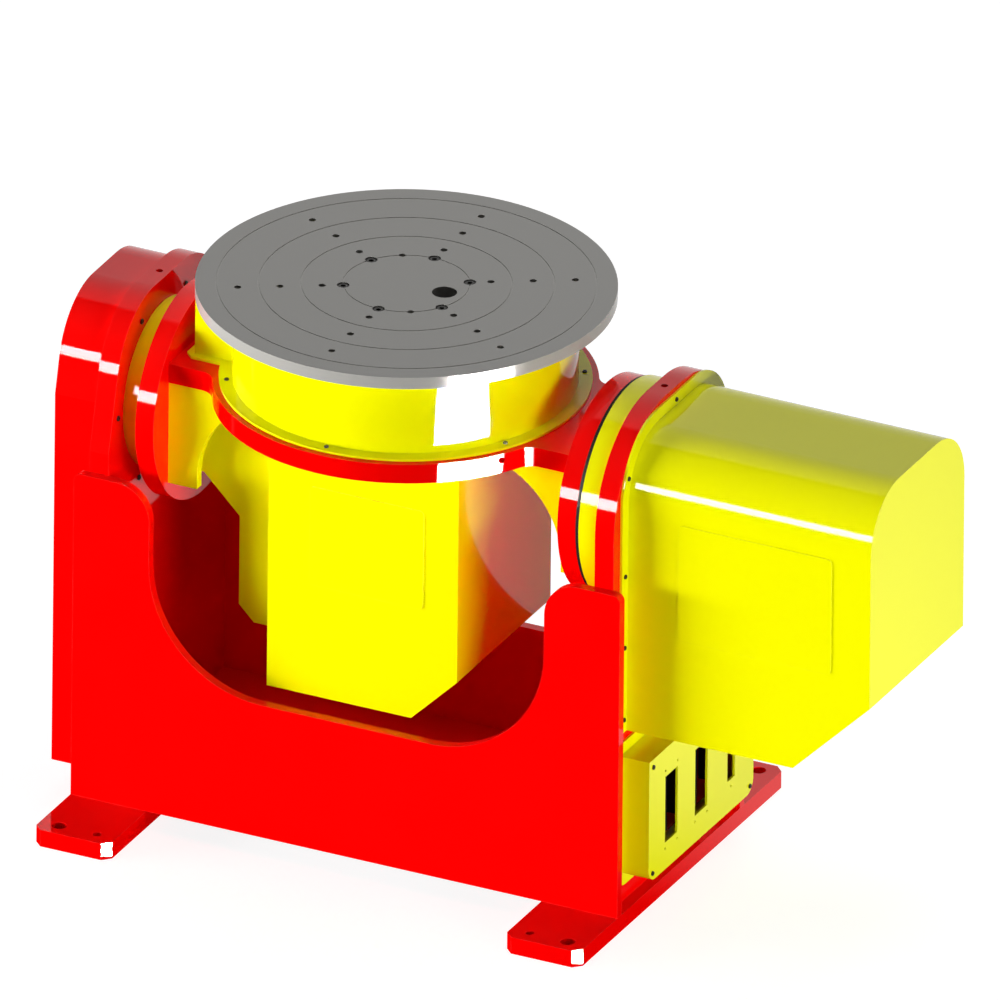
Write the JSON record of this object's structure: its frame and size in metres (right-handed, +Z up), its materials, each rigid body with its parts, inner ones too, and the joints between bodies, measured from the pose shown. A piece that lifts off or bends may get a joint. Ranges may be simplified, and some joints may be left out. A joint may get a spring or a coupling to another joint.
{
  "type": "two-axis workpiece positioner",
  "caption": "Two-axis workpiece positioner: a servo-driven turntable in a cradle that tilts between two uprights of a welded frame.",
  "frame": {"origin": "on the floor, at the centre of the four anchor holes in the foot rails", "axes": "+X towards the tilt drive, +Y away from the front plate, +Z up; the tilt axis runs along X at y = -20 mm, z = 509 mm and the turntable axis is parallel to Z at y = -20 mm"},
  "size_m": [1.072, 0.55, 0.71],
  "materials": {
    "red_paint": "gloss",
    "yellow_paint": "gloss",
    "seal": "satin",
    "table_steel": "ground",
    "screws": "blackened",
    "machined_steel": "turned",
    "gear_casing": "cast and machined",
    "motor_casing": "black anodised"
  },
  "bodies": {
    "frame": {"left_foot_rail": "red_paint", "right_foot_rail": "red_paint", "front_plate": "red_paint", "rear_plate": "red_paint", "left_upright": "red_paint", "right_upright": "red_paint", "floor_plate": "red_paint", "left_bearing_ring": "yellow_paint", "right_bearing_ring": "yellow_paint", "left_ring_seal": "seal", "right_ring_seal": "seal", "idler_bearing_outer": "machined_steel", "idler_bearing_cap": "machined_steel", "idler_cap_screws": "screws", "idler_cover": "red_paint", "tilt_gear_unit": "gear_casing", "tilt_motor_plate": "gear_casing", "tilt_motor": "motor_casing", "tilt_cover": "yellow_paint", "tilt_cover_screws": "screws", "tilt_cover_panel": "yellow_paint", "connector_box": "yellow_paint", "connector_lid": "yellow_paint", "connector_lid_screws": "screws"},
    "cradle": {"cradle_plate": "red_paint", "left_trunnion_disc": "red_paint", "right_trunnion_disc": "red_paint", "front_left_gusset": "yellow_paint", "rear_left_gusset": "yellow_paint", "front_right_gusset": "yellow_paint", "rear_right_gusset": "yellow_paint", "idler_trunnion": "machined_steel", "drive_trunnion": "machined_steel", "left_trunnion_bolts": "screws", "right_trunnion_bolts": "screws", "idler_bearing_inner": "machined_steel", "idler_lock_nut": "machined_steel", "table_shroud": "yellow_paint", "shroud_screws": "screws", "motor_box": "yellow_paint", "motor_box_panel": "yellow_paint", "cable_duct": "yellow_paint", "table_gear_unit": "gear_casing", "table_motor_plate": "gear_casing", "table_motor": "motor_casing", "table_bearing_outer": "machined_steel"},
    "table": {"table_bearing_inner": "machined_steel", "table_spindle": "machined_steel", "turntable": "table_steel", "table_bolts": "screws"}
  },
  "joints": [
    {"name": "cradle_tilt", "type": "hinge", "parent": "frame", "child": "cradle", "pos_m": [0, -0.02, 0.509], "axis": [1, 0, 0], "range_deg": [-120, 120]},
    {"name": "table_turn", "type": "hinge", "parent": "cradle", "child": "table", "pos_m": [0, -0.02, 0.71], "axis": [0, 0, 1], "continuous": true}
  ]
}
